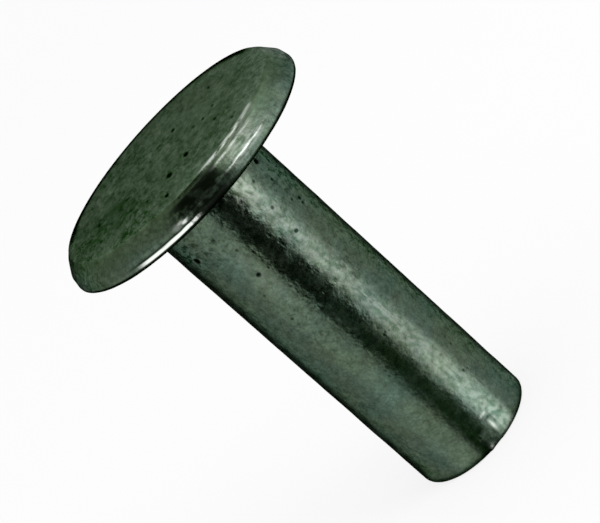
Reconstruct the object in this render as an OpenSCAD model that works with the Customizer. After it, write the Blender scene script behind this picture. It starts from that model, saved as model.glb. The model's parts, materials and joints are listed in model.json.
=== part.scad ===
// Semi-tubular brake lining rivet, cold headed in one piece.
// It stands on its tail: z = 0 is the tail end and the head faces +Z. Millimetres.

/* [Shank] */
// Diameter of the shank
shank_d = 8; // [5:0.1:12]
// Length of the shank below the head
shank_len = 23.5; // [16:0.5:40]
// Radius of the rounded edge round the tail
tail_r = 0.25; // [0.1:0.05:0.4]
// Radius of the fillet where the shank runs into the head
neck_r = 0.3; // [0.1:0.05:0.8]

/* [Head] */
// Widest diameter of the head, just above its seat
head_d = 17.4; // [15:0.1:24]
// Height of the side band, from the seat to the shoulder
band_h = 0.75; // [0.6:0.05:2]
// How far the side band leans in towards the shoulder, in degrees
band_lean = 13; // [0:1:20]
// Width of the lower, steeper step of the shoulder
lower_w = 0.45; // [0.3:0.05:0.8]
// Height of the lower step of the shoulder
lower_h = 0.6; // [0.3:0.05:1]
// Width of the upper, flatter step of the shoulder
upper_w = 0.3; // [0.25:0.05:0.6]
// Height of the upper step of the shoulder
upper_h = 0.35; // [0.25:0.05:0.6]
// Radius that softens each ridge of the shoulder
ridge_r = 0.12; // [0.05:0.01:0.15]
// Radius of the corner between the side band and the seat
seat_r = 0.22; // [0.1:0.01:0.3]

/* [Tail bore] */
// Wall that the blind bore leaves round the tail, to be rolled over
tail_wall = 1.25; // [0.9:0.05:1.6]
// Depth of the bore at its full diameter
bore_depth = 7.5; // [3:0.5:10]
// Full angle of the cone at the bottom of the bore
bore_point = 120; // [100:5:150]
// Width of the lead-in chamfer at the mouth of the bore
mouth_w = 0.25; // [0.1:0.05:0.3]

/* [Hidden] */
$fn = 128;

// Facets of each rounded corner of the outline
arc_steps = 8;
// How far the bore's cutter reaches past the tail end that it opens
overcut = 1;

head_h = band_h + lower_h + upper_h;
total_len = shank_len + head_h;

shank_rad = shank_d / 2;
bore_rad = shank_rad - tail_wall;
bore_tip_h = bore_rad / tan(bore_point / 2);

// The band's foot lies outside the widest radius, because its corner is rounded back to it.
foot_rad = head_d / 2 + seat_r * (tan(band_lean) + 1 / cos(band_lean) - 1);
shoulder_rad = foot_rad - band_h * tan(band_lean);
ridge_rad = shoulder_rad - lower_w;
face_rad = ridge_rad - upper_w;

shoulder_z = shank_len + band_h;
ridge_z = shoulder_z + lower_h;

// Unit vector from point a to point b.
function toward(a, b) = (b - a) / norm(b - a);

// Arc of radius r that rounds the corner at b between its neighbours a and c.
function rounded(a, b, c, r) =
    r == 0 ? [b] :
    let (
        to_a = toward(b, a),
        to_c = toward(b, c),
        half = acos(to_a * to_c) / 2,
        centre = b + toward([0, 0], to_a + to_c) * r / sin(half),
        start = b + to_a * r / tan(half) - centre,
        turn = sign(to_a.y * to_c.x - to_a.x * to_c.y) * (180 - 2 * half)
    )
    [for (i = [0 : arc_steps])
        let (t = turn * i / arc_steps)
        centre + [start.x * cos(t) - start.y * sin(t), start.x * sin(t) + start.y * cos(t)]];

// Half outline of the solid rivet, up the outside from the tail: [radius, height, corner radius].
OUTLINE = [
    [0, 0, 0],
    [shank_rad, 0, tail_r],
    [shank_rad, shank_len, neck_r],
    [foot_rad, shank_len, seat_r],
    [shoulder_rad, shoulder_z, ridge_r],
    [ridge_rad, ridge_z, ridge_r],
    [face_rad, total_len, ridge_r],
    [0, total_len, 0],
];

function corner(i) = let (p = OUTLINE[i % len(OUTLINE)]) [p.x, p.y];

// The headed blank, before its tail is bored.
module blank() {
    rotate_extrude()
        polygon([
            for (i = [0 : len(OUTLINE) - 1])
                each rounded(corner(i + len(OUTLINE) - 1), corner(i), corner(i + 1), OUTLINE[i].z)
        ]);
}

// The blind bore, with its lead-in chamfer and its conical bottom.
module tail_bore() {
    rotate_extrude()
        polygon([
            [0, -overcut],
            [bore_rad + mouth_w + overcut, -overcut],
            [bore_rad, mouth_w],
            [bore_rad, bore_depth],
            [0, bore_depth + bore_tip_h],
        ]);
}

module rivet() {
    color("slategray")
        difference() {
            blank();
            tail_bore();
        }
}

rivet();
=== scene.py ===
"""Looks of the brake lining rivet: one steel piece, standing on its tail with its head up.

Lengths are in millimetres. Azimuths are in degrees, from -Y, where the camera stands, towards +X.
A span is the low and the high limit of something, and then how softly it begins and ends.
"""

import json
import math
from collections import namedtuple

import bmesh
import bpy
import numpy as np
from mathutils import Matrix, Vector, noise


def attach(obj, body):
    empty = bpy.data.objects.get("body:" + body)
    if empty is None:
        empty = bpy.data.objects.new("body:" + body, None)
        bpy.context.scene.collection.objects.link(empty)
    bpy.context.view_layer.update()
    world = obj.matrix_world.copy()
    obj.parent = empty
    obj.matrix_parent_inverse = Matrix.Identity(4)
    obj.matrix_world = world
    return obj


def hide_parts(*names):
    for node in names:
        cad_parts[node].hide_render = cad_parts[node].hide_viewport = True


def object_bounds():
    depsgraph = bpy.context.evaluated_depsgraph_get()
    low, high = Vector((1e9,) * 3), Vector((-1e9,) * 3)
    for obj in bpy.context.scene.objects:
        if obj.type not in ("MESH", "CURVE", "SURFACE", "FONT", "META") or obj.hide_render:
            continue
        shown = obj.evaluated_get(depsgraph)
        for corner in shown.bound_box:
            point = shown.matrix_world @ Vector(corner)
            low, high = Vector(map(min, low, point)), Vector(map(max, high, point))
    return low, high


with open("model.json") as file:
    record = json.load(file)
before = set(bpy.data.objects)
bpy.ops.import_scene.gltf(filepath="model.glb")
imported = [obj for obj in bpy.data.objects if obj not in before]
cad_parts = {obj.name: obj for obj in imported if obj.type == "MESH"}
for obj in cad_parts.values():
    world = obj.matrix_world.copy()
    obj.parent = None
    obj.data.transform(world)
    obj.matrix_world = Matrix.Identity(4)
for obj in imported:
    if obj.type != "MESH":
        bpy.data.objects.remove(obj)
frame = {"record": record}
cad_box = [list(corner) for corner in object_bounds()]

MM = 0.001
SEED = 7

# ---- sizes of the CAD model ----
mounts = {mount["name"]: mount for mount in frame["record"]["mounts"]}
SHANK_R = mounts["shank"]["dims"]["r_mm"]
SHANK_LEN = round(mounts["head_seat"]["pos_m"][2] / MM, 2)
HEAD_R = round(cad_box[1][0] / MM, 2)
BAND_H, BAND_LEAN = 0.75, math.radians(13)
LOWER_W, LOWER_H, UPPER_W, UPPER_H = 0.45, 0.6, 0.3, 0.35
TAIL_R, NECK_R, SEAT_R, RIDGE_R = 0.25, 0.3, 0.22, 0.12
MOUTH_W, BORE_POINT = 0.25, math.radians(120)
BORE_R = mounts["tail_bore"]["dims"]["r_mm"]
BORE_DEPTH = MOUTH_W + mounts["tail_bore"]["dims"]["length_mm"]

SHOULDER_Z = SHANK_LEN + BAND_H
RIDGE_Z = SHOULDER_Z + LOWER_H
FACE_Z = RIDGE_Z + UPPER_H
FOOT_R = HEAD_R + SEAT_R * (math.tan(BAND_LEAN) + 1 / math.cos(BAND_LEAN) - 1)
SHOULDER_R = FOOT_R - BAND_H * math.tan(BAND_LEAN)
STEP_R = SHOULDER_R - LOWER_W
FACE_R = STEP_R - UPPER_W

# ---- skin ----
# Corners of the half section, from the middle of the face round to the middle of the bore's end:
# radius, height, corner radius, and the longest row on the way to the next corner. The bore's
# corners are rounded a little, so that the skin is smooth there.
MOUTH_R, BORE_END_R = 0.05, 0.3
SECTION = [
    (0, FACE_Z, 0, 0.25),
    (FACE_R, FACE_Z, RIDGE_R, 0.05),
    (STEP_R, RIDGE_Z, RIDGE_R, 0.06),
    (SHOULDER_R, SHOULDER_Z, RIDGE_R, 0.06),
    (FOOT_R, SHANK_LEN, SEAT_R, 0.5),
    (SHANK_R, SHANK_LEN, NECK_R, 0.24),
    (SHANK_R, 0, TAIL_R, 0.25),
    (BORE_R + MOUTH_W, 0, MOUTH_R, 0.15),
    (BORE_R, MOUTH_W, MOUTH_R, 0.7),
    (BORE_R, BORE_DEPTH, BORE_END_R, 0.5),
    (0, BORE_DEPTH + BORE_R / math.tan(BORE_POINT / 2), 0, 0),
]
COLUMNS = 240
# Each pass of cutting finer reaches this many times a mark's size from its middle, and a little more.
FINER_REACHES, FINER_MARGIN = (2.2, 1.6), 0.06
# How far the outside wanders in and out. The face falls away by the crown from its starting radius
# to the rim, and by the roll-off over the last of it.
WANDER = 0.014
CROWN, CROWN_START = 0.03, 5
ROLL_OFF, ROLL_OFF_W = 0.02, 0.5
# Largest radius that the skin may reach, inside the CAD model's facets.
OUTER_R = HEAD_R - 0.005

# ---- pits ----
# Azimuth, then radius on the face or height on the shank, then the pit's own radius and depth.
FACE_PITS = [
    (-10, 3.9, 0.23, 0.08), (12, 3.6, 0.20, 0.06), (148, 2.4, 0.16, 0.06), (68, 3.05, 0.13, 0.04),
    (47, 4.4, 0.14, 0.05), (69, 2.3, 0.12, 0.04), (-14, 6.4, 0.16, 0.05), (79, 3.8, 0.12, 0.04),
    (-67, 6.4, 0.12, 0.04), (-90, 5.4, 0.13, 0.04), (36, 6.6, 0.11, 0.03), (120, 5.1, 0.12, 0.03),
]
SHANK_PITS = [
    (50.5, 21.7, 0.23, 0.12), (-22, 17.6, 0.17, 0.06), (-54.5, 20.3, 0.24, 0.11),
    (11.3, 21.2, 0.13, 0.01), (24, 22.5, 0.11, 0.02), (47, 22.4, 0.12, 0.03), (52.6, 18.4, 0.15, 0.05),
    (51.2, 18.1, 0.13, 0.04), (9.4, 17.9, 0.12, 0.008), (25, 17.65, 0.14, 0.05),
    (46.5, 20.4, 0.13, 0.03), (45, 18.8, 0.12, 0.03), (26, 19.55, 0.14, 0.02), (-32, 14.3, 0.12, 0.02),
    (-26, 20.8, 0.12, 0.02), (-18.6, 19.5, 0.11, 0.02), (32.6, 21.3, 0.12, 0.02),
    (9.9, 20, 0.10, 0.006), (33.4, 4.5, 0.11, 0.02), (9.2, 9.8, 0.12, 0.02), (38, 22.6, 0.12, 0.02),
    (-33, 16.4, 0.10, 0.02),
]
# Small pits all over the outside, by seed: how many, their sizes, their depth for their size, the
# share of them that is on the face, the radius that those keep to, and the heights of the others.
STRAY_PITS, STRAY_SIZES, STRAY_DEPTH = 60, (0.05, 0.11), 0.35
STRAY_ON_FACE, STRAY_FACE_R, STRAY_HEIGHTS = 0.12, 7.3, (1.0, 23.0)
# Shallow pits along the two edges of the shank's dark stripe, by seed.
STRIPE_PITS, STRIPE_SIZES, STRIPE_DEPTH = 36, (0.05, 0.09), 0.01
STRIPE_EDGES, STRIPE_SCATTER, STRIPE_HEIGHTS = (-10, 11), 2.5, (7, 22.5)
# A pit's form, as shares of its radius and depth: how far from its middle it shows, how deep it is
# before dirt fills it, its bowl's width, and the place, width and height of the low lip round it.
PIT_REACH, PIT_OPEN, BOWL_W, LIP_AT, LIP_W, LIP_H = 2.5, 0.45, 0.85, 1.3, 0.3, 0.2
# The dirt in a pit on the face: how black it is at most, the pit's radius at which it is, the power by
# which it is paler in a smaller one, and its width and the power that sharpens its edge.
FACE_DIRT, FACE_DIRT_FULL_R, FACE_DIRT_FALL, FACE_DIRT_W, FACE_DIRT_EDGE = 0.8, 0.2, 1.2, 0.85, 3
# The dirt in a pit on the shank: black from this radius up, and then its width and its edge's power.
SHANK_DIRT_FULL_R, SHANK_DIRT_W, SHANK_DIRT_EDGE = 1 / 6, 0.9, 6
# The marks on the face are drawn out by its forging grain: how far each axis shrinks before they
# are laid out round.
FACE_STRETCH = np.array([1, 0.5, 1])

# ---- turned shoulder, with painted highlights ----
# Its ridges: radius, height, width, how bright their painted highlight is, and between which azimuths it
# shows.
RIDGES = [
    (FACE_R, FACE_Z, 0.10, 1.0, (6, 38, 5)),
    (STEP_R, RIDGE_Z, 0.07, 0.6, (9, 34, 5)),
    (SHOULDER_R, SHOULDER_Z, 0.09, 0.9, (13, 33, 5)),
]
BEAD_H, RING_H, RING_PITCH = 0.015, 0.0045, 0.17
# The end of the uppermost ridge's bright line, a painted highlight, which is whole there.
LINE_END_SPAN, LINE_END_W, LINE_END_HIGHLIGHT = (31, 40, 2), 0.11, 0.6
SHOULDER_SPAN = (SHOULDER_Z - 0.3, FACE_Z - 0.1, 0.1)
# Azimuths where the shoulder's streaked part, with its painted highlight streaks and deeper rings, the
# crescent painted as a highlight at the side band's foot and the dark patch painted as a dark reflection
# on the side band begin, are full, begin to fade and have gone.
STREAK_AZIMUTHS = (9, 19, 26, 44)
CRESCENT_AZIMUTHS = (-40, -32, -9.5, -6)
PATCH_AZIMUTHS = (-21, -10, 7, 14)
# All the wear and painted highlight on the shoulder is toned down to this.
SHOULDER_TONE = 0.77

# ---- foot of the side band ----
# The strip of the crescent, painted bright as a highlight, the painted shadow line along its upper side,
# and where the painted shade under the head ends.
CRESCENT_LOW, CRESCENT_HIGH, CRESCENT_SOFT = SHANK_LEN + 0.235, SHANK_LEN + 0.385, 0.035
SHADOW_Z, SHADOW_W, SHADOW_SPAN = SHANK_LEN + 0.47, 0.07, (-42, -7, 6)
SEAT_SHADE_END, SEAT_SHADE_GONE = SHANK_LEN + 0.19, SHANK_LEN + 0.24
# Radii past which a point is on the seat, on the side band or on the band's front patch.
SEAT_FROM_R, BAND_FROM_R, PATCH_FROM_R = 4.3, 8, 7.9
# Faint painted shade on the face's left: its place and radius.
LEFT_SHADE_PLACE, LEFT_SHADE_R = (-80, 5.2, FACE_Z), 2.4
# The rim of the face that turns away: between these azimuths and radii its painted shade, a dark
# outline, rises to the full.
FAR_AZIMUTHS, FAR_RADII = (95, 120), (FACE_R - 0.62, FACE_R - 0.36)
# How dark each place is painted as shade.
SHADOW_LINE_DARKNESS, BORE_SHADE, PATCH_DARKNESS = 0.9, 0.7, 0.95
LEFT_SHADE_DARKNESS, FAR_RIM_DARKNESS, BRUISE_EDGE_SHADE = 0.22, 0.9, 0.7
# How brightly the foot of the band is rubbed all round, how bright the crescent is painted as a
# highlight, and how brightly the tail's edge is rubbed.
FOOT_RUB, CRESCENT_HIGHLIGHT, TAIL_RUB = 0.04, 1.1, 0.12

# ---- tones of the film ----
# How strongly the film is calmed and lightened on the face, and more on its right as painted light,
# made paler as a painted sheen towards the face's rim and on the shoulder, speckled on the head, and
# lumpy on the shank, and between which azimuths.
CALM, CALM_RIGHT = 0.3, 0.16
PALE_RIM, PALE_RIM_SPAN = 0.104, (-15, 110, 25)
PALE_SHOULDER, PALE_SHOULDER_SPAN = 0.9, (32, 54, 9)
HEAD_SPOTS, SPOTTY_SPAN = 0.35, (-11, 13, 4)
CLUSTER_GRAIN, CLUSTER_SHIFT = (0.35, 0.15, 0.35), (0, 0, 5)
LUMPS, LUMPY_SPAN = 1.8, (-13, 32, 4)
LESS_LUMPY, LESS_LUMPY_SPAN = 0.6, (-6, 6, 3)

# ---- dents, worn places with painted highlight, and scratches ----
# A dent, or a burr where its depth is below zero: its place, its size along X, Y and Z, its depth, the
# power that sharpens its edge, and how strongly it is brightened, dulled and soiled. On the side band
# the brightening is painted highlight; at the tail it is wear.
Dent = namedtuple("Dent", "place size depth power bright dull dirty", defaults=(0, 0, 0))
DENTS = [
    # the burr on the side band, painted white as a highlight, its end and the grey patch beside it
    Dent((-12.5, 8.6, SHANK_LEN + 0.64), (0.22, 0.3, 0.095), -0.03, 3, bright=1.0, dull=0.5),
    Dent((-14.3, 8.56, SHANK_LEN + 0.74), (0.24, 0.3, 0.07), -0.015, 3, bright=0.5, dull=0.9),
    Dent((-16.2, 8.6, SHANK_LEN + 0.67), (0.32, 0.3, 0.16), -0.008, 3, bright=0.2, dull=0.8),
    # light and dark marks near the tail, on the bruise and beside it
    Dent((14.5, SHANK_R, 2.0), (0.28, 0.2, 0.10), -0.008, 2, bright=0.28),
    Dent((14, SHANK_R, 1.1), (0.13, 0.2, 0.38), -0.006, 2, bright=0.36),
    Dent((15, SHANK_R, 1.65), (0.28, 0.2, 0.07), 0.02, 2, dirty=0.85),
    Dent((18.5, SHANK_R, 1.3), (0.06, 0.2, 0.45), 0.012, 2, dirty=0.6),
    Dent((30, SHANK_R, 1.25), (0.2, 0.3, 0.12), 0.01, 2, dirty=0.5),
    Dent((34, SHANK_R, 0.35), (0.4, 0.4, 0.12), 0.01, 2, dirty=0.6),
    # the nick in the tail's edge
    Dent((1.5, SHANK_R, 0.25), (0.17, 0.2, 0.17), 0.04, 2, bright=0.8, dull=1.0),
]
# The flat bruise at the tail: azimuth that it faces, its distance from the axis, the span of its
# sides, its top, and the middles and size of the marks that the mesh is cut finer for.
BRUISE_AZIMUTH, BRUISE_FLAT, BRUISE_SPAN = 8, 3.98, (-2, 12.5, 2)
BRUISE_TOP, BRUISE_TOP_SOFT = 1.3, 0.25
BRUISE_MARKS, BRUISE_MARK_SIZE = [(5, SHANK_R, z) for z in (0.2, 0.8, 1.3)], 0.5
# Patches worn lighter and painted as highlight along the shank's bright stripes: by azimuth and height
# on the shank, then width, height and strength.
WORN_HIGHLIGHT_PATCHES = [
    (20, 21.4, 0.8, 1.2, 0.2), (18, 19.6, 0.6, 1.0, 0.12), (23, 12.0, 0.8, 40.0, 0.10),
    (24, 3.0, 1.0, 3.0, 0.08), (-20, 17.5, 0.8, 2.5, 0.04),
]
# Scratches along the shank: azimuth, height of each end, width, and how bright they are rubbed.
SCRATCHES = [(23.6, 10.0, 12.6, 0.05, 0.15), (25.9, 9.3, 11.6, 0.045, 0.13)]
SCRATCH_DEPTH, SCRATCH_SOFT, SCRATCH_STEP = 0.008, 0.4, 0.1


# ---- helpers ----
def place(azimuth, radius, height):
    """Point at an azimuth, a radius and a height."""
    a = np.radians(azimuth)
    return np.array([radius * np.sin(a), -radius * np.cos(a), height])


def smoothstep(low, high, x):
    """0 below the low limit and 1 above the high one, with a smooth rise between them."""
    t = np.clip((x - low) / (high - low), 0, 1)
    return t * t * (3 - 2 * t)


def plateau(start, full, fading, gone, x):
    """Rises to 1 from start to full, and falls to 0 from fading to gone."""
    return smoothstep(start, full, x) * (1 - smoothstep(fading, gone, x))


def window(low, high, soft, x):
    """1 between the limits and 0 outside them, with both edges softened."""
    return plateau(low - soft, low + soft, high - soft, high + soft, x)


def fade(distance, width, power=2):
    """1 at no distance, and next to nothing past the width. A higher power has a sharper edge."""
    return np.exp(-(distance / width) ** power)


def lifted(least, x):
    """x, which runs from 0 to 1, made to run from the least to 1."""
    return least + (1 - least) * x


def even_noise(points, scale):
    """Smooth noise from -1 to 1 at each point, with as many grains to a millimetre as the scale."""
    return np.array([noise.noise(Vector(p) * scale) for p in points])


def drawn_noise(points, scales, shift=(0, 0, 0)):
    """The same with a scale of its own along X, Y and Z, moved by the shift."""
    return np.array([noise.noise(Vector(p)) for p in points * scales + shift])


# ---- mesh ----
def rounded(a, b, c, r, steps=6):
    """Points of the arc of radius r that rounds the corner b between a and c."""
    if r == 0:
        return [b]
    to_a, to_c = (a - b) / np.linalg.norm(a - b), (c - b) / np.linalg.norm(c - b)
    half = math.acos(np.clip(to_a @ to_c, -1, 1)) / 2
    centre = b + (to_a + to_c) / np.linalg.norm(to_a + to_c) * r / math.sin(half)
    start = b + to_a * r / math.tan(half) - centre
    turn = math.copysign(math.pi - 2 * half, to_a[1] * to_c[0] - to_a[0] * to_c[1])
    angles = [turn * i / steps for i in range(steps + 1)]
    return [centre + [start[0] * math.cos(t) - start[1] * math.sin(t),
                      start[0] * math.sin(t) + start[1] * math.cos(t)] for t in angles]


def section_rows():
    """(radius, height) of each row of the skin."""
    places = [np.array(corner[:2], float) for corner in SECTION]
    rows = [places[0]]
    for i in range(1, len(SECTION)):
        arc = [places[i]]
        if i + 1 < len(SECTION):
            arc = rounded(places[i - 1], places[i], places[i + 1], SECTION[i][2])
        start, gap = rows[-1], arc[0] - rows[-1]
        count = max(1, math.ceil(np.linalg.norm(gap) / SECTION[i - 1][3]))
        rows += [start + gap * k / count for k in range(1, count)] + arc
    return np.array(rows)


def revolved_skin():
    """The smooth rivet, as rows of faces round its axis that close at the face and in the bore."""
    rows = section_rows()
    rings = rows[1:-1]
    angles = np.arange(COLUMNS) * 2 * math.pi / COLUMNS
    grid = np.stack([rings[:, :1] * np.sin(angles), -rings[:, :1] * np.cos(angles),
                     np.repeat(rings[:, 1:], COLUMNS, axis=1)], axis=-1).reshape(-1, 3)
    points = np.vstack([grid, [0, 0, rows[0][1]], [0, 0, rows[-1][1]]])
    face_middle, bore_middle = len(grid), len(grid) + 1
    last = (len(rings) - 1) * COLUMNS
    faces = []
    for j in range(COLUMNS):
        k = (j + 1) % COLUMNS
        faces += [(face_middle, j, k), (bore_middle, last + k, last + j)]
        faces += [(i + j, i + COLUMNS + j, i + COLUMNS + k, i + k) for i in range(0, last, COLUMNS)]
    mesh = bpy.data.meshes.new("rivet_skin")
    mesh.from_pydata(points.tolist(), [], faces)
    return mesh


def scattered_pits():
    """(place, size, depth) of the pits that are scattered by seed."""
    rng = np.random.default_rng(SEED)
    pits = []
    for _ in range(STRAY_PITS):
        azimuth, size = rng.uniform(-180, 180), rng.uniform(*STRAY_SIZES)
        if rng.random() < STRAY_ON_FACE:
            centre = place(azimuth, STRAY_FACE_R * math.sqrt(rng.random()), FACE_Z)
        else:
            centre = place(azimuth, SHANK_R, rng.uniform(*STRAY_HEIGHTS))
        pits.append((centre, size, STRAY_DEPTH * size))
    for _ in range(STRIPE_PITS):
        azimuth = rng.choice(STRIPE_EDGES) + rng.normal(0, STRIPE_SCATTER)
        centre = place(azimuth, SHANK_R, rng.uniform(*STRIPE_HEIGHTS))
        pits.append((centre, rng.uniform(*STRIPE_SIZES), STRIPE_DEPTH))
    return pits


def all_pits():
    """(place, size, depth) of every pit."""
    pits = [(place(a, r, FACE_Z), size, depth) for a, r, size, depth in FACE_PITS]
    pits += [(place(a, SHANK_R, z), size, depth) for a, z, size, depth in SHANK_PITS]
    return pits + scattered_pits()


def fine_spots(pits):
    """(place, size) of each mark that the mesh is cut finer for."""
    spots = [(centre, size) for centre, size, _ in pits]
    spots += [(place(*dent.place), max(dent.size)) for dent in DENTS]
    spots += [(place(*centre), BRUISE_MARK_SIZE) for centre in BRUISE_MARKS]
    for azimuth, low, high, width, _ in SCRATCHES:
        spots += [(place(azimuth, SHANK_R, z), width) for z in np.arange(low, high, SCRATCH_STEP)]
    return spots


def is_on_face(centre):
    """Whether a mark is on the face, and so not on the shank."""
    return centre[2] > FACE_Z - 0.1


def stretch_at(centre):
    """How far each axis shrinks before a mark there is laid out round."""
    return FACE_STRETCH if is_on_face(centre) else 1


def refine(mesh, spots):
    """Cuts the faces round each spot finer, so that the marks there have a shape of their own."""
    work = bmesh.new()
    work.from_mesh(mesh)
    for reach in FINER_REACHES:
        middles = np.array([edge.verts[0].co + edge.verts[1].co for edge in work.edges]) / 2
        close = np.zeros(len(middles), bool)
        for centre, size in spots:
            offset = (middles - centre) * stretch_at(centre)
            close |= (offset ** 2).sum(axis=1) < (reach * size + FINER_MARGIN) ** 2
        work.edges.ensure_lookup_table()
        edges = [work.edges[i] for i in np.flatnonzero(close)]
        bmesh.ops.subdivide_edges(work, edges=edges, cuts=1, use_grid_fill=True)
    work.to_mesh(mesh)
    work.free()


# ---- wear, dirt and painted light ----
class Skin:
    """The skin's points: how far each is raised, how pitted and scuffed it is, how bright with wear and
    painted highlight, and how dark with dirt and painted shade.
    """

    def __init__(self, mesh):
        self.points, self.normals = (self.read(mesh, key) for key in ("co", "normal"))
        self.radius = np.hypot(self.points[:, 0], self.points[:, 1])
        self.azimuth = np.degrees(np.arctan2(self.points[:, 0], -self.points[:, 1]))
        self.z = self.points[:, 2]
        self.height, self.pit, self.rub, self.grime, self.scuff = np.zeros((5, len(self.z)))
        self.patchy = 0.5 + 0.5 * even_noise(self.points, 1.5) + 0.35 * even_noise(self.points, 5)
        self.gritty = 0.5 + 0.9 * drawn_noise(self.points, (4, 4, 3))
        self.fine = 0.5 + 0.6 * drawn_noise(self.points, (2, 2, 9))
        self.on_shank = (np.abs(self.radius - SHANK_R) < 0.1) & (self.z < SHANK_LEN)

    @staticmethod
    def read(mesh, key):
        """The place or the normal of each point, as a row."""
        flat = np.empty(len(mesh.vertices) * 3)
        mesh.vertices.foreach_get(key, flat)
        return flat.reshape(-1, 3)

    def brighten(self, amount):
        self.rub = np.maximum(self.rub, amount)

    def darken(self, amount):
        self.grime = np.maximum(self.grime, amount)

    def dull(self, amount):
        self.scuff = np.maximum(self.scuff, amount)


def sink_pits(skin, pits):
    """Sinks each pit, raises a low lip round it and blackens it."""
    for centre, size, depth in pits:
        offset = (skin.points - centre) * stretch_at(centre)
        near = np.flatnonzero((offset ** 2).sum(axis=1) < (PIT_REACH * size) ** 2)
        reach = np.linalg.norm(offset[near], axis=1) / size
        form = LIP_H * fade(reach - LIP_AT, LIP_W) - fade(reach, BOWL_W, 4)
        skin.height[near] += PIT_OPEN * depth * form
        if is_on_face(centre):
            black = FACE_DIRT * min(1, size / FACE_DIRT_FULL_R) ** FACE_DIRT_FALL
            dirt = black * fade(reach, FACE_DIRT_W, FACE_DIRT_EDGE)
        else:
            dirt = min(1, size / SHANK_DIRT_FULL_R) * fade(reach, SHANK_DIRT_W, SHANK_DIRT_EDGE)
        skin.pit[near] = np.maximum(skin.pit[near], dirt)


def make_uneven(skin):
    """Lets the outside wander in and out, but neither the bore nor the edge of the tail."""
    wave = even_noise(skin.points, 0.5) + 0.5 * even_noise(skin.points, 1.2)
    outside = (skin.radius > SHANK_R - 0.5) | (skin.z > SHANK_LEN)
    skin.height += WANDER * wave * outside * window(0.3, FACE_Z - 0.05, 0.2, skin.z)


def turn_shoulder(skin):
    """Raises a bead on each ridge and turned rings between them, and paints highlights on the ridges and
    bright streaks on the shoulder in places.
    """
    broken = np.clip(3.4 * skin.fine - 0.9, 0, 1)
    for radius, z, width, strength, span in RIDGES:
        bead = fade(np.hypot(skin.radius - radius, skin.z - z), width)
        highlit_span = window(*span, skin.azimuth)
        skin.height += BEAD_H * bead * lifted(0.2, highlit_span) * (0.6 + 0.8 * (skin.patchy - 0.5))
        # Painted highlight along each ridge, faint outside its azimuths.
        skin.brighten(bead * strength * broken * lifted(0.02, highlit_span))
    # Painted highlight at the end of the uppermost ridge's line.
    line_end = fade(np.hypot(skin.radius - FACE_R, skin.z - FACE_Z), LINE_END_W)
    skin.brighten(LINE_END_HIGHLIGHT * (line_end * window(*LINE_END_SPAN, skin.azimuth)))

    shoulder = window(*SHOULDER_SPAN, skin.z)
    streaked = plateau(*STREAK_AZIMUTHS, skin.azimuth)
    rings = np.sin((skin.radius - skin.z) * 2 * math.pi / RING_PITCH + 3 * skin.patchy)
    skin.height += RING_H * shoulder * lifted(0.2, streaked) * rings
    # Painted highlight: broken bright streaks on the shoulder.
    skin.brighten(0.2 * shoulder * streaked * np.clip(2 * skin.fine - 0.4, 0, 1))
    skin.rub *= SHOULDER_TONE


def brighten_edges(skin):
    """Rubs the foot of the side band a little all round, paints a bright crescent there as a highlight,
    and rubs the tail's edge a little.
    """
    crescent = window(CRESCENT_LOW, CRESCENT_HIGH + 0.04 * skin.patchy, CRESCENT_SOFT, skin.z)
    highlit = plateau(*CRESCENT_AZIMUTHS, skin.azimuth)
    # Painted highlight: the bright crescent at the band's foot.
    strength = FOOT_RUB * skin.patchy + CRESCENT_HIGHLIGHT * highlit
    skin.brighten(crescent * (skin.radius > BAND_FROM_R) * strength)
    tail_edge = fade(np.hypot(skin.radius - SHANK_R + 0.05, skin.z - 0.05), 0.15)
    skin.brighten(TAIL_RUB * tail_edge * skin.patchy)


def paint_shade(skin):
    """Paints shade on the seat under the head, as a line above the crescent, in the bore and on the
    tail's end, as a dark reflection on the front of the side band and the shoulder, on the face's left
    and along its far rim.
    """
    # Painted shade on the seat under the head and the lower part of its corner.
    seat = (skin.radius > SEAT_FROM_R) * (skin.z > SHANK_LEN - 0.1)
    skin.darken(seat * (1 - smoothstep(SEAT_SHADE_END, SEAT_SHADE_GONE, skin.z)))
    # Painted shadow: a dark line above the crescent.
    shadow = window(*SHADOW_SPAN, skin.azimuth) * fade(skin.z - SHADOW_Z, SHADOW_W)
    skin.darken(SHADOW_LINE_DARKNESS * shadow * (skin.radius > BAND_FROM_R))
    # Painted shade in the bore and on the tail's end, where it stands on the floor.
    skin.darken(BORE_SHADE * (skin.radius < SHANK_R - 0.1) * (skin.z < SHANK_LEN))
    # Painted dark reflection: a dark patch on the front of the side band and the shoulder.
    patch = plateau(*PATCH_AZIMUTHS, skin.azimuth) * (skin.radius > PATCH_FROM_R)
    patch *= window(SHANK_LEN + 0.15, RIDGE_Z + 0.1, 0.1, skin.z)
    skin.darken(PATCH_DARKNESS * patch * smoothstep(0.25, 0.5, skin.patchy))
    on_top = skin.z > RIDGE_Z
    # Painted shade: the face is faintly darker on its left.
    left_shade = fade(np.linalg.norm(skin.points - place(*LEFT_SHADE_PLACE), axis=1), LEFT_SHADE_R) * on_top
    skin.darken(LEFT_SHADE_DARKNESS * left_shade * (0.5 + skin.patchy))
    # Painted shade: a dark outline along the face's far rim.
    far_rim = smoothstep(*FAR_AZIMUTHS, np.abs(skin.azimuth)) * smoothstep(*FAR_RADII, skin.radius)
    skin.darken(FAR_RIM_DARKNESS * far_rim * on_top)


def add_dents(skin):
    """Presses in each dent and clears the dirt and painted shade under it."""
    for dent in DENTS:
        offset = (skin.points - place(*dent.place)) / dent.size
        mark = fade(np.linalg.norm(offset, axis=1), 1, dent.power)
        skin.height -= dent.depth * mark
        skin.brighten(dent.bright * mark)
        skin.dull(dent.dull * mark)
        skin.grime = np.maximum(skin.grime * (1 - mark), dent.dirty * mark)


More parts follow.
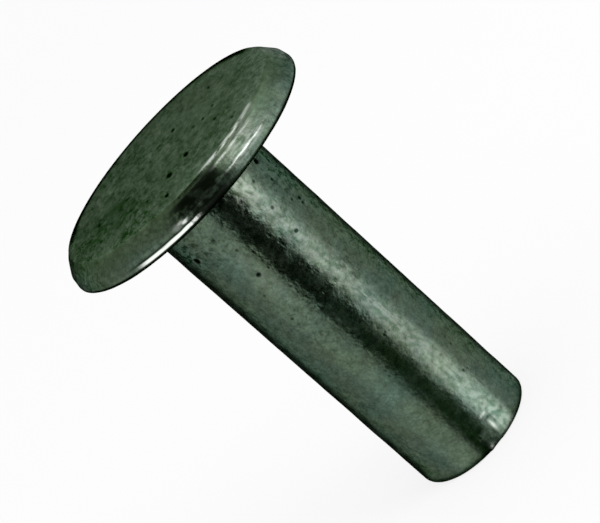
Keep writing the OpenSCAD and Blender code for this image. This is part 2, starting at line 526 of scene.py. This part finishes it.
def add_bruise(skin):
    """Flattens a facet on the shank at the tail, dull all over, with painted shade along its left side.
    """
    flat = BRUISE_FLAT / np.cos(np.radians(skin.azimuth - BRUISE_AZIMUTH)) - SHANK_R
    near_shank = (skin.radius > SHANK_R - 0.3) & (skin.z < SHANK_LEN)
    below = 1 - smoothstep(BRUISE_TOP - BRUISE_TOP_SOFT, BRUISE_TOP + BRUISE_TOP_SOFT, skin.z)
    bruise = window(*BRUISE_SPAN, skin.azimuth) * below * near_shank
    skin.height += bruise * flat
    skin.dull(bruise * smoothstep(0.1, 0.5, skin.gritty))
    # Painted shade: a dark line along the bruise's left side.
    side = BRUISE_EDGE_SHADE * fade(skin.azimuth - BRUISE_SPAN[0], 2.5)
    skin.darken(side * (skin.z < BRUISE_TOP - 0.3) * near_shank)


def wear_shank(skin):
    """Paints patches of the shank lighter, as highlight along its bright stripes, and scratches it."""
    for azimuth, z, width, length, strength in WORN_HIGHLIGHT_PATCHES:
        across = np.radians(skin.azimuth - azimuth) * SHANK_R
        off = np.hypot(across / width, (skin.z - z) / length)
        skin.brighten(strength * fade(off, 1) * smoothstep(0.15, 0.8, skin.gritty) * skin.on_shank)
    for azimuth, low, high, width, strength in SCRATCHES:
        across = np.radians(skin.azimuth - azimuth) * SHANK_R
        mark = fade(across, width) * window(low, high, SCRATCH_SOFT, skin.z) * skin.on_shank
        skin.height -= SCRATCH_DEPTH * mark
        skin.brighten(strength * mark * np.clip(2 * skin.fine, 0, 1))


def film_tones(skin):
    """Where the film is the head's, and where it is calmer and lit lighter, painted paler as a sheen,
    more spotted and lumpier.
    """
    face = smoothstep(SHANK_LEN + 0.4, FACE_Z, skin.z)

    # The face's mottling is calmer and lighter than the shank's, most of all on its right, which is
    # painted light.
    calm = CALM + CALM_RIGHT * smoothstep(-3, 5, skin.points[:, 0])
    calm *= smoothstep(RIDGE_Z - 0.2, FACE_Z - 0.15, skin.z)

    # Painted sheen: the face is a little paler towards its rim, and the shoulder much paler past its
    # bright lines.
    rim = smoothstep(5.6, 7.4, skin.radius) * window(*PALE_RIM_SPAN, skin.azimuth)
    pale = PALE_RIM * rim * (skin.z > SHANK_LEN + 0.3)
    shoulder = window(SHANK_LEN + 0.3, FACE_Z - 0.1, 0.1, skin.z)
    pale = np.maximum(pale, PALE_SHOULDER * shoulder * window(*PALE_SHOULDER_SPAN, skin.azimuth))

    # The head's specks are even. The shank's come in clusters, more of them near the head, and its dark
    # stripe has the most, which darkens that reflection further as painted shade.
    clusters = 0.5 + 1.4 * drawn_noise(skin.points, CLUSTER_GRAIN, CLUSTER_SHIFT)
    spots = np.where(skin.z > SHANK_LEN, HEAD_SPOTS, 0.15 + 0.4 * smoothstep(8, 19, skin.z))
    stripe = window(*SPOTTY_SPAN, skin.azimuth) * (skin.radius < SHANK_R + 0.1) * (skin.z < SHANK_LEN)
    stripe *= 0.4 + 0.3 * smoothstep(6, 16, skin.z)
    spotty = np.maximum(spots * np.clip(0.3 + clusters, 0, 1.3), stripe)

    # The edges of the dark stripe and the bright stripe are lumpy, but the dark stripe's middle is less.
    lumpy = LUMPS * window(*LUMPY_SPAN, skin.azimuth) * lifted(0.2, smoothstep(7, 15, skin.z))
    lumpy *= skin.on_shank * (1 - LESS_LUMPY * window(*LESS_LUMPY_SPAN, skin.azimuth))
    return {"face": face, "calm": calm, "pale": pale, "spotty": spotty, "lumpy": lumpy}


def settled_points(skin):
    """The skin's points with their heights added, the face crowned, and all within the CAD box."""
    points = skin.points + skin.normals * skin.height[:, None]
    fall = CROWN * smoothstep(CROWN_START, FACE_R, skin.radius)
    fall += ROLL_OFF * np.clip((skin.radius - FACE_R + ROLL_OFF_W) / ROLL_OFF_W, 0, 1) ** 2
    fall *= (points[:, 2] > RIDGE_Z + 0.1) * (1 - smoothstep(FACE_R, STEP_R, skin.radius))
    points[:, 2] = np.clip(points[:, 2] - fall, 0, FACE_Z)
    radius = np.hypot(points[:, 0], points[:, 1])
    points[:, :2] *= np.minimum(1, OUTER_R / np.maximum(radius, 1e-6))[:, None]
    return points


def shape(mesh, pits):
    """Shapes the skin and stores its pits, its wear and painted highlight, its dirt and painted shade,
    and so on.
    """
    skin = Skin(mesh)
    sink_pits(skin, pits)
    make_uneven(skin)
    turn_shoulder(skin)
    brighten_edges(skin)
    paint_shade(skin)
    add_dents(skin)
    add_bruise(skin)
    wear_shank(skin)
    skin.rub *= 1 - skin.pit
    mesh.vertices.foreach_set("co", (settled_points(skin) * MM).ravel())
    marks_and_painted_light = {"pit": skin.pit, "rub": skin.rub, "grime": skin.grime, "scuff": skin.scuff}
    for name, values in (marks_and_painted_light | film_tones(skin)).items():
        mesh.attributes.new(name, "FLOAT", "POINT").data.foreach_set("value", values)
    mesh.update()


# ---- steel ----
def grey(shade):
    """The shade as a colour."""
    return (shade, shade, shade)


# Colours are linear, and a number before one is its place on a ramp. The film is the steel's colour
# seen straight on, and the edge is its colour seen at a glancing angle.
SHANK_FILMS = [
    (0.36, (0.066, 0.096, 0.061)), (0.5, (0.068, 0.100, 0.070)), (0.62, (0.062, 0.100, 0.074)),
]
HEAD_FILMS = [(0.35, (0.042, 0.068, 0.033)), (0.65, (0.064, 0.098, 0.0545))]
EDGE = (0.475, 0.53, 0.485)
# Shades that the film and the edge are multiplied by.
BROAD_TONES = [(0.3, grey(0.72)), (0.7, grey(1.28))]
SPECK_TONES = [(0.38, (0.14, 0.21, 0.13)), (0.52, grey(1.08))]
CRISP_TONES = [(0.35, grey(0.88)), (0.65, grey(1.12))]
SEAM_TONES = [(0.0, grey(0.78)), (0.07, grey(1))]
CALM_TONE, PALE_TONE = (1.14, 1.14, 1.12), (2.2, 2.2, 2.45)
# The colours of pits, and the dark film and edge of dirt and painted shade.
PIT_FILM, DIRT_AND_SHADE_FILM, DIRT_AND_SHADE_EDGE = (0.002, 0.003, 0.002), (0.004, 0.007, 0.003), grey(0.006)
# The bright film and edge of wear and painted highlight.
RUB_AND_HIGHLIGHT_FILM, RUB_AND_HIGHLIGHT_EDGE = (0.81, 0.85, 0.80), (0.8, 0.83, 0.8)
ROUGHNESS = [(0.3, grey(0.2)), (0.7, grey(0.32))]
DIRT_AND_SHADE_ROUGH, RUB_AND_HIGHLIGHT_ROUGH, SCUFFED_ROUGH = grey(0.34), grey(0.14), grey(0.62)
# The least strength of the bumps, and how far the coarse, the middle and the drawn ones rise.
BUMP_STRENGTH, COARSE_BUMP, MIDDLE_BUMP, DRAWN_BUMP = 0.45, 0.02, 0.014, 0.005


def add(tree, kind, values=None, **settings):
    """Adds a node with its settings and its sockets' values."""
    node = tree.nodes.new(kind)
    for key, value in settings.items():
        setattr(node, key, value)
    for key, value in (values or {}).items():
        node.inputs[key].default_value = value
    return node


def add_ramp(tree, fac, stops):
    """Adds a colour ramp from two or more (position, colour) stops, in their order."""
    node = add(tree, "ShaderNodeValToRGB")
    elements = node.color_ramp.elements
    for element, (position, colour) in zip(elements, stops[:2]):
        element.position, element.color = position, (*colour, 1)
    for position, colour in stops[2:]:
        elements.new(position).color = (*colour, 1)
    tree.links.new(fac, node.inputs["Fac"])
    return node.outputs["Color"]


def steel_material():
    material = bpy.data.materials.new("rivet_steel")
    material.use_nodes = True
    tree = material.node_tree
    link = tree.links.new
    shader = tree.nodes["Principled BSDF"]
    shader.inputs["Metallic"].default_value = 1
    coords = add(tree, "ShaderNodeTexCoord")

    def laid_out(x, y, z):
        """The place on the rivet in millimetres, stretched or shrunk along each axis."""
        node = add(tree, "ShaderNodeMapping", {"Scale": (x / MM, y / MM, z / MM)})
        link(coords.outputs["Object"], node.inputs["Vector"])
        return node.outputs["Vector"]

    evenly, along_shank, across_face = laid_out(1, 1, 1), laid_out(4, 4, 0.35), laid_out(1, 0.58, 1)

    def grain(scale, detail, roughness=0.5, vector=evenly):
        values = {"Scale": scale, "Detail": detail, "Roughness": roughness}
        node = add(tree, "ShaderNodeTexNoise", values)
        link(vector, node.inputs["Vector"])
        return node.outputs["Fac"]

    def mix(fac, a, b, blend="MIX"):
        node = add(tree, "ShaderNodeMix", data_type="RGBA", blend_type=blend)
        for key, value in (("Factor", fac), ("A", a), ("B", b)):
            if isinstance(value, tuple):
                node.inputs[key].default_value = (*value, 1)
            elif isinstance(value, float):
                node.inputs[key].default_value = value
            else:
                link(value, node.inputs[key])
        return node.outputs["Result"]

    def times(a, b):
        return mix(1.0, a, b, "MULTIPLY")

    def attribute(name):
        return add(tree, "ShaderNodeAttribute", attribute_name=name).outputs["Fac"]

    def patches(scale, detail, roughness):
        """Noise that is drawn out across the face, as its forging grain is."""
        even = grain(scale, detail, roughness)
        return mix(attribute("face"), even, grain(scale, detail, roughness, across_face))

    tone = add_ramp(tree, patches(2.0, 4, 0.65), BROAD_TONES)
    specks = add_ramp(tree, patches(3.2, 3, 0.65), SPECK_TONES)
    tone = mix(attribute("spotty"), tone, times(tone, specks))
    tone = times(tone, add_ramp(tree, patches(7, 2, 0.6), CRISP_TONES))
    cells = add(tree, "ShaderNodeTexVoronoi", {"Scale": 2.1}, feature="DISTANCE_TO_EDGE")
    link(evenly, cells.inputs["Vector"])
    tone = times(tone, add_ramp(tree, cells.outputs["Distance"], SEAM_TONES))
    tone = mix(attribute("calm"), tone, CALM_TONE)
    # Painted sheen: a paler tone towards the face's rim and on the shoulder.
    tone = mix(attribute("pale"), tone, times(tone, PALE_TONE))

    shank_film = add_ramp(tree, grain(0.28, 3, 0.55), SHANK_FILMS)
    head_film = add_ramp(tree, patches(0.5, 4, 0.6), HEAD_FILMS)
    film = times(mix(attribute("face"), shank_film, head_film), tone)
    edge = times(EDGE, tone)
    # Pits, dirt and painted shade darken the film and the edge.
    for name, dark in (("pit", PIT_FILM), ("grime", DIRT_AND_SHADE_FILM)):
        film = mix(attribute(name), film, dark)
        edge = mix(attribute(name), edge, DIRT_AND_SHADE_EDGE)
    # Wear and painted highlight brighten the film and the edge.
    link(mix(attribute("rub"), film, RUB_AND_HIGHLIGHT_FILM), shader.inputs["Base Color"])
    link(mix(attribute("rub"), edge, RUB_AND_HIGHLIGHT_EDGE), shader.inputs["Specular Tint"])

    rough = add_ramp(tree, grain(1.4, 4), ROUGHNESS)
    for name, value in (("grime", DIRT_AND_SHADE_ROUGH), ("rub", RUB_AND_HIGHLIGHT_ROUGH), ("scuff", SCUFFED_ROUGH)):
        rough = mix(attribute(name), rough, value)
    link(rough, shader.inputs["Roughness"])

    uneven = add(tree, "ShaderNodeMath", {1: BUMP_STRENGTH}, operation="ADD")
    link(attribute("spotty"), uneven.inputs[0])
    lumps = add(tree, "ShaderNodeMath", operation="ADD")
    link(uneven.outputs[0], lumps.inputs[0])
    link(attribute("lumpy"), lumps.inputs[1])
    normal = None
    bumps = [(grain(1.8, 2), COARSE_BUMP, lumps), (grain(4.5, 2), MIDDLE_BUMP, uneven),
             (grain(1, 3, vector=along_shank), DRAWN_BUMP, uneven)]
    for fac, distance, strength in bumps:
        bump = add(tree, "ShaderNodeBump", {"Distance": distance * MM})
        link(strength.outputs[0], bump.inputs["Strength"])
        link(fac, bump.inputs["Height"])
        if normal:
            link(normal, bump.inputs["Normal"])
        normal = bump.outputs["Normal"]
    link(normal, shader.inputs["Normal"])
    return material


# ---- the piece ----
pits = all_pits()
mesh = revolved_skin()
refine(mesh, fine_spots(pits))
shape(mesh, pits)
mesh.shade_smooth()
mesh.materials.append(steel_material())
rivet = bpy.data.objects.new("rivet_skin", mesh)
bpy.context.collection.objects.link(rivet)

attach(rivet, "root")
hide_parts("rivet")

# ---- light ----
# The shank mirrors the floor, which is close to the rivet for its tail and far away for its head.
# The head's face mirrors the dome behind. The floor's cards are given as the shank shows them: their
# sides are straight stripes on it, so they spread or narrow with the distance from its axis.
FLOOR_BELOW, FLOOR_SPREAD, BACK_SPREAD = -10, 2, 215
# What each card adds to the plain tent, and the azimuths of its two sides with their softness.
PLAIN, RIGHT, LEFT, SIDE = 0.85, 1.0, 0.6, 0.15
RIGHT_CARD, LEFT_CARD, LEFT_WALL, SIDE_CARD = (27, 67, 9), (-72, -24, 8), (-78, -20, 5), (75, 130, 12)
# The dark card in front, which the shank shows as its dark stripe and the side band as its dark patch.
FRONT_LEFT, FRONT_RIGHT, FRONT_SOFT, FRONT_DARK = -22, 17, 5, 0.99
FRONT_WALL_LEFT, FRONT_WALL_RIGHT, FRONT_WALL_SOFT = -16, 24, 6
# The dark side behind, outside of these azimuths.
BACK_LEFT, BACK_RIGHT, BACK_SOFT, BACK_WALL = -131, 141, 7, (-148, 160, 10)
# How much light the tent lacks behind the rivet, and under it where it stands.
BACK_DARK, CONTACT_DARK = 0.99, 0.95
# The darkest parts of the tent are tinted: glow, then colour.
TENT_HUES = [(0.12, (0.4, 1, 0.35)), (0.32, grey(1))]
TENT_R, TENT_COLUMNS, TENT_STEP, TENT_FLOOR_Z, DOME_Z = 120.0, 144, 3, 0.02, 0.3
TENT_FLOOR_ROWS = (3.5, 4.3, 4.7, 5.1, 5.5, 6.5, 8, 11, 15, 20, 26, 33, 41, 48, 53, 57, 61, 65, 72, 85,
                   100)
# Half the floor's side in metres, its paint, and how much of what the camera sees of it is plain white.
FLOOR_HALF, FLOOR_PAINT, FLOOR_WHITE = 2.0, 0.9, 0.8
# The world's brightness for its light, and how much more the camera sees.
WORLD_LIGHT, WORLD_SEEN = 0.9, 0.1


def stage_card(name, points, faces, material):
    """Adds a mesh that belongs to the stage."""
    card = bpy.data.meshes.new(name)
    card.from_pydata(points, [], faces)
    card.materials.append(material)
    obj = bpy.data.objects.new(name, card)
    bpy.context.collection.objects.link(obj)
    return obj


def background_rays(tree, share):
    """The share for camera, glossy and transmission rays, and nothing for the others."""
    path = add(tree, "ShaderNodeLightPath")
    total = path.outputs["Is Camera Ray"]
    for name in ("Is Glossy Ray", "Is Transmission Ray"):
        node = add(tree, "ShaderNodeMath", operation="MAXIMUM")
        tree.links.new(total, node.inputs[0])
        tree.links.new(path.outputs[name], node.inputs[1])
        total = node.outputs[0]
    node = add(tree, "ShaderNodeMath", {1: share}, operation="MULTIPLY")
    tree.links.new(total, node.inputs[0])
    return node.outputs[0]


def pale_floor():
    """White paint that keeps a pale shadow, because part of what the camera sees is plain white."""
    material = bpy.data.materials.new("pale_floor")
    material.use_nodes = True
    tree = material.node_tree
    paint = tree.nodes["Principled BSDF"]
    paint.inputs["Base Color"].default_value = (*grey(FLOOR_PAINT), 1)
    paint.inputs["Roughness"].default_value = 1
    paint.inputs["Specular IOR Level"].default_value = 0
    white = add(tree, "ShaderNodeEmission")
    mixer = add(tree, "ShaderNodeMixShader")
    tree.links.new(background_rays(tree, FLOOR_WHITE), mixer.inputs[0])
    tree.links.new(paint.outputs[0], mixer.inputs[1])
    tree.links.new(white.outputs[0], mixer.inputs[2])
    tree.links.new(mixer.outputs[0], tree.nodes["Material Output"].inputs["Surface"])
    return material


def studio_world():
    """A white world, a little brighter where the camera or a reflection sees it."""
    world = bpy.data.worlds.new("studio")
    world.use_nodes = True
    tree = world.node_tree
    backdrop = tree.nodes["Background"]
    backdrop.inputs["Color"].default_value = (*grey(1), 1)
    brightness = add(tree, "ShaderNodeMath", {1: WORLD_LIGHT}, operation="ADD")
    tree.links.new(background_rays(tree, WORLD_SEEN), brightness.inputs[0])
    tree.links.new(brightness.outputs[0], backdrop.inputs["Strength"])
    bpy.context.scene.world = world


def tent_glow(azimuth, distance, elevation):
    """Brightness of the tent, by the place as seen from the head. 1 is a white card in plain light."""
    floor = elevation < FLOOR_BELOW
    seen = np.where(floor, azimuth * distance / (distance - FLOOR_SPREAD), azimuth)
    behind = azimuth + np.sign(azimuth) * BACK_SPREAD / distance

    # The bright stripe gets brighter towards the tail and near the head.
    right = window(*RIGHT_CARD, seen) * (1 - smoothstep(55, 75, elevation))
    ends = 1 + 1.3 * fade(distance - 8, 12) + 1.2 * smoothstep(56, 66, distance) * floor
    left_wall = 0.6 * window(*LEFT_WALL, azimuth) * (1 - smoothstep(15, 28, elevation))
    left = np.where(floor, window(*LEFT_CARD, seen), left_wall)
    side = window(*SIDE_CARD, seen) * floor

    # The dark stripe gets wider towards the head, and a little paler towards the tail.
    front_right = FRONT_RIGHT + 3 * smoothstep(12, 30, distance)
    front_right = front_right + 4 * smoothstep(30, 50, distance) + 4 * smoothstep(52, 64, distance)
    wall_left = FRONT_WALL_LEFT - 18 * smoothstep(12, 30, elevation)
    open_above = (1 - smoothstep(78, 88, elevation)) * (1 - 0.8 * window(14, 42, 3, elevation))
    front_wall = window(wall_left, FRONT_WALL_RIGHT, FRONT_WALL_SOFT, seen) * open_above
    front = np.where(floor, window(FRONT_LEFT, front_right, FRONT_SOFT, seen), front_wall)
    dark = FRONT_DARK - 0.13 * (1 - smoothstep(20, 48, distance)) * floor

    # Behind, it is dark low down and bright above, where the face mirrors it.
    back_left = BACK_LEFT + 6 * smoothstep(35, 60, distance)
    ahead_on_floor = window(back_left, BACK_RIGHT, BACK_SOFT, behind)
    ahead = np.where(floor, ahead_on_floor, window(*BACK_WALL, azimuth))
    back = 0.4 * smoothstep(8, 32, elevation) - 1 + smoothstep(2, 24, elevation)
    contact = 1 - smoothstep(4.2, 4.8, distance)
    return (PLAIN + RIGHT * right * ends + LEFT * left + SIDE * side) * (1 - dark * front) \
        * (1 - CONTACT_DARK * contact) * (1 + (1 - ahead) * back * BACK_DARK)


def tent_material():
    """Light of the strength that each point's glow says."""
    material = bpy.data.materials.new("tent_light")
    material.use_nodes = True
    tree = material.node_tree
    tree.nodes.remove(tree.nodes["Principled BSDF"])
    light = add(tree, "ShaderNodeEmission")
    strength = add(tree, "ShaderNodeAttribute", attribute_name="glow").outputs["Fac"]
    tree.links.new(strength, light.inputs["Strength"])
    tree.links.new(add_ramp(tree, strength, TENT_HUES), light.inputs["Color"])
    tree.links.new(light.outputs[0], tree.nodes["Material Output"].inputs["Surface"])
    return material


def light_tent():
    """A shell of light round the rivet that only its reflections show."""
    rows = [(r, TENT_FLOOR_Z) for r in TENT_FLOOR_ROWS]
    rows += [(TENT_R * math.cos(e), DOME_Z + TENT_R * math.sin(e))
             for e in map(math.radians, range(0, 91, TENT_STEP))]
    radii, heights = (np.array(values)[:, None] for values in zip(*rows))
    elevations = np.degrees(np.arctan2(heights - SHOULDER_Z, radii))
    azimuths = np.arange(TENT_COLUMNS) * 360 / TENT_COLUMNS - 180
    points = [tuple(place(a, r, z) * MM) for r, z in rows for a in azimuths]
    faces = []
    for start in range(0, (len(rows) - 1) * TENT_COLUMNS, TENT_COLUMNS):
        for j in range(TENT_COLUMNS):
            this, other = start + j, start + (j + 1) % TENT_COLUMNS
            faces.append((this, other, other + TENT_COLUMNS, this + TENT_COLUMNS))
    tent = stage_card("light_tent", points, faces, tent_material())
    glow = tent_glow(azimuths[None, :], radii, elevations)
    tent.data.attributes.new("glow", "FLOAT", "POINT").data.foreach_set("value", glow.ravel())
    tent.visible_camera = False
    tent.visible_diffuse = False
    tent.visible_shadow = False


def lamp(name, side, azimuth, distance, z, tilt, radiance):
    """A soft square lamp aimed at the rivet's axis."""
    data = bpy.data.lights.new(name, "AREA")
    data.shape = "RECTANGLE"
    data.size = data.size_y = side * MM
    data.energy = radiance * math.pi * data.size * data.size_y
    obj = bpy.data.objects.new(name, data)
    obj.matrix_world = Matrix.Translation(place(azimuth, distance, z) * MM) @ \
        Matrix.Rotation(math.radians(azimuth), 4, "Z") @ Matrix.Rotation(math.radians(90 + tilt), 4, "X")
    obj.visible_camera = False
    bpy.context.collection.objects.link(obj)


floor_corners = [(x * FLOOR_HALF, y * FLOOR_HALF, 0) for x, y in ((-1, -1), (1, -1), (1, 1), (-1, 1))]
stage_card("floor", floor_corners, [(0, 1, 2, 3)], pale_floor())
studio_world()
light_tent()
lamp("key", side=80, azimuth=50, distance=160, z=150, tilt=-40, radiance=6.0)

# ---- camera ----
# A camera fitted to the photo's outline: its place in metres, how many degrees it looks down, how far
# its picture is turned, and its lens and sensor.
CAMERA_PLACE, CAMERA_DOWN, CAMERA_TURN = (0.00056, -0.12198, 0.05702), 18.99, -48.09
CAMERA_LENS, CAMERA_SENSOR, CAMERA_NEAR = 136.08, 36, 0.01

camera_data = bpy.data.cameras.new("camera")
camera_data.sensor_width = CAMERA_SENSOR
camera_data.lens = CAMERA_LENS
camera_data.clip_start = CAMERA_NEAR
camera = bpy.data.objects.new("camera", camera_data)
camera.matrix_world = Matrix.Translation(CAMERA_PLACE) @ \
    Matrix.Rotation(math.radians(90 - CAMERA_DOWN), 4, "X") @ \
    Matrix.Rotation(math.radians(CAMERA_TURN), 4, "Z")
bpy.context.collection.objects.link(camera)
bpy.context.scene.camera = camera
bpy.context.scene.view_settings.view_transform = "Standard"
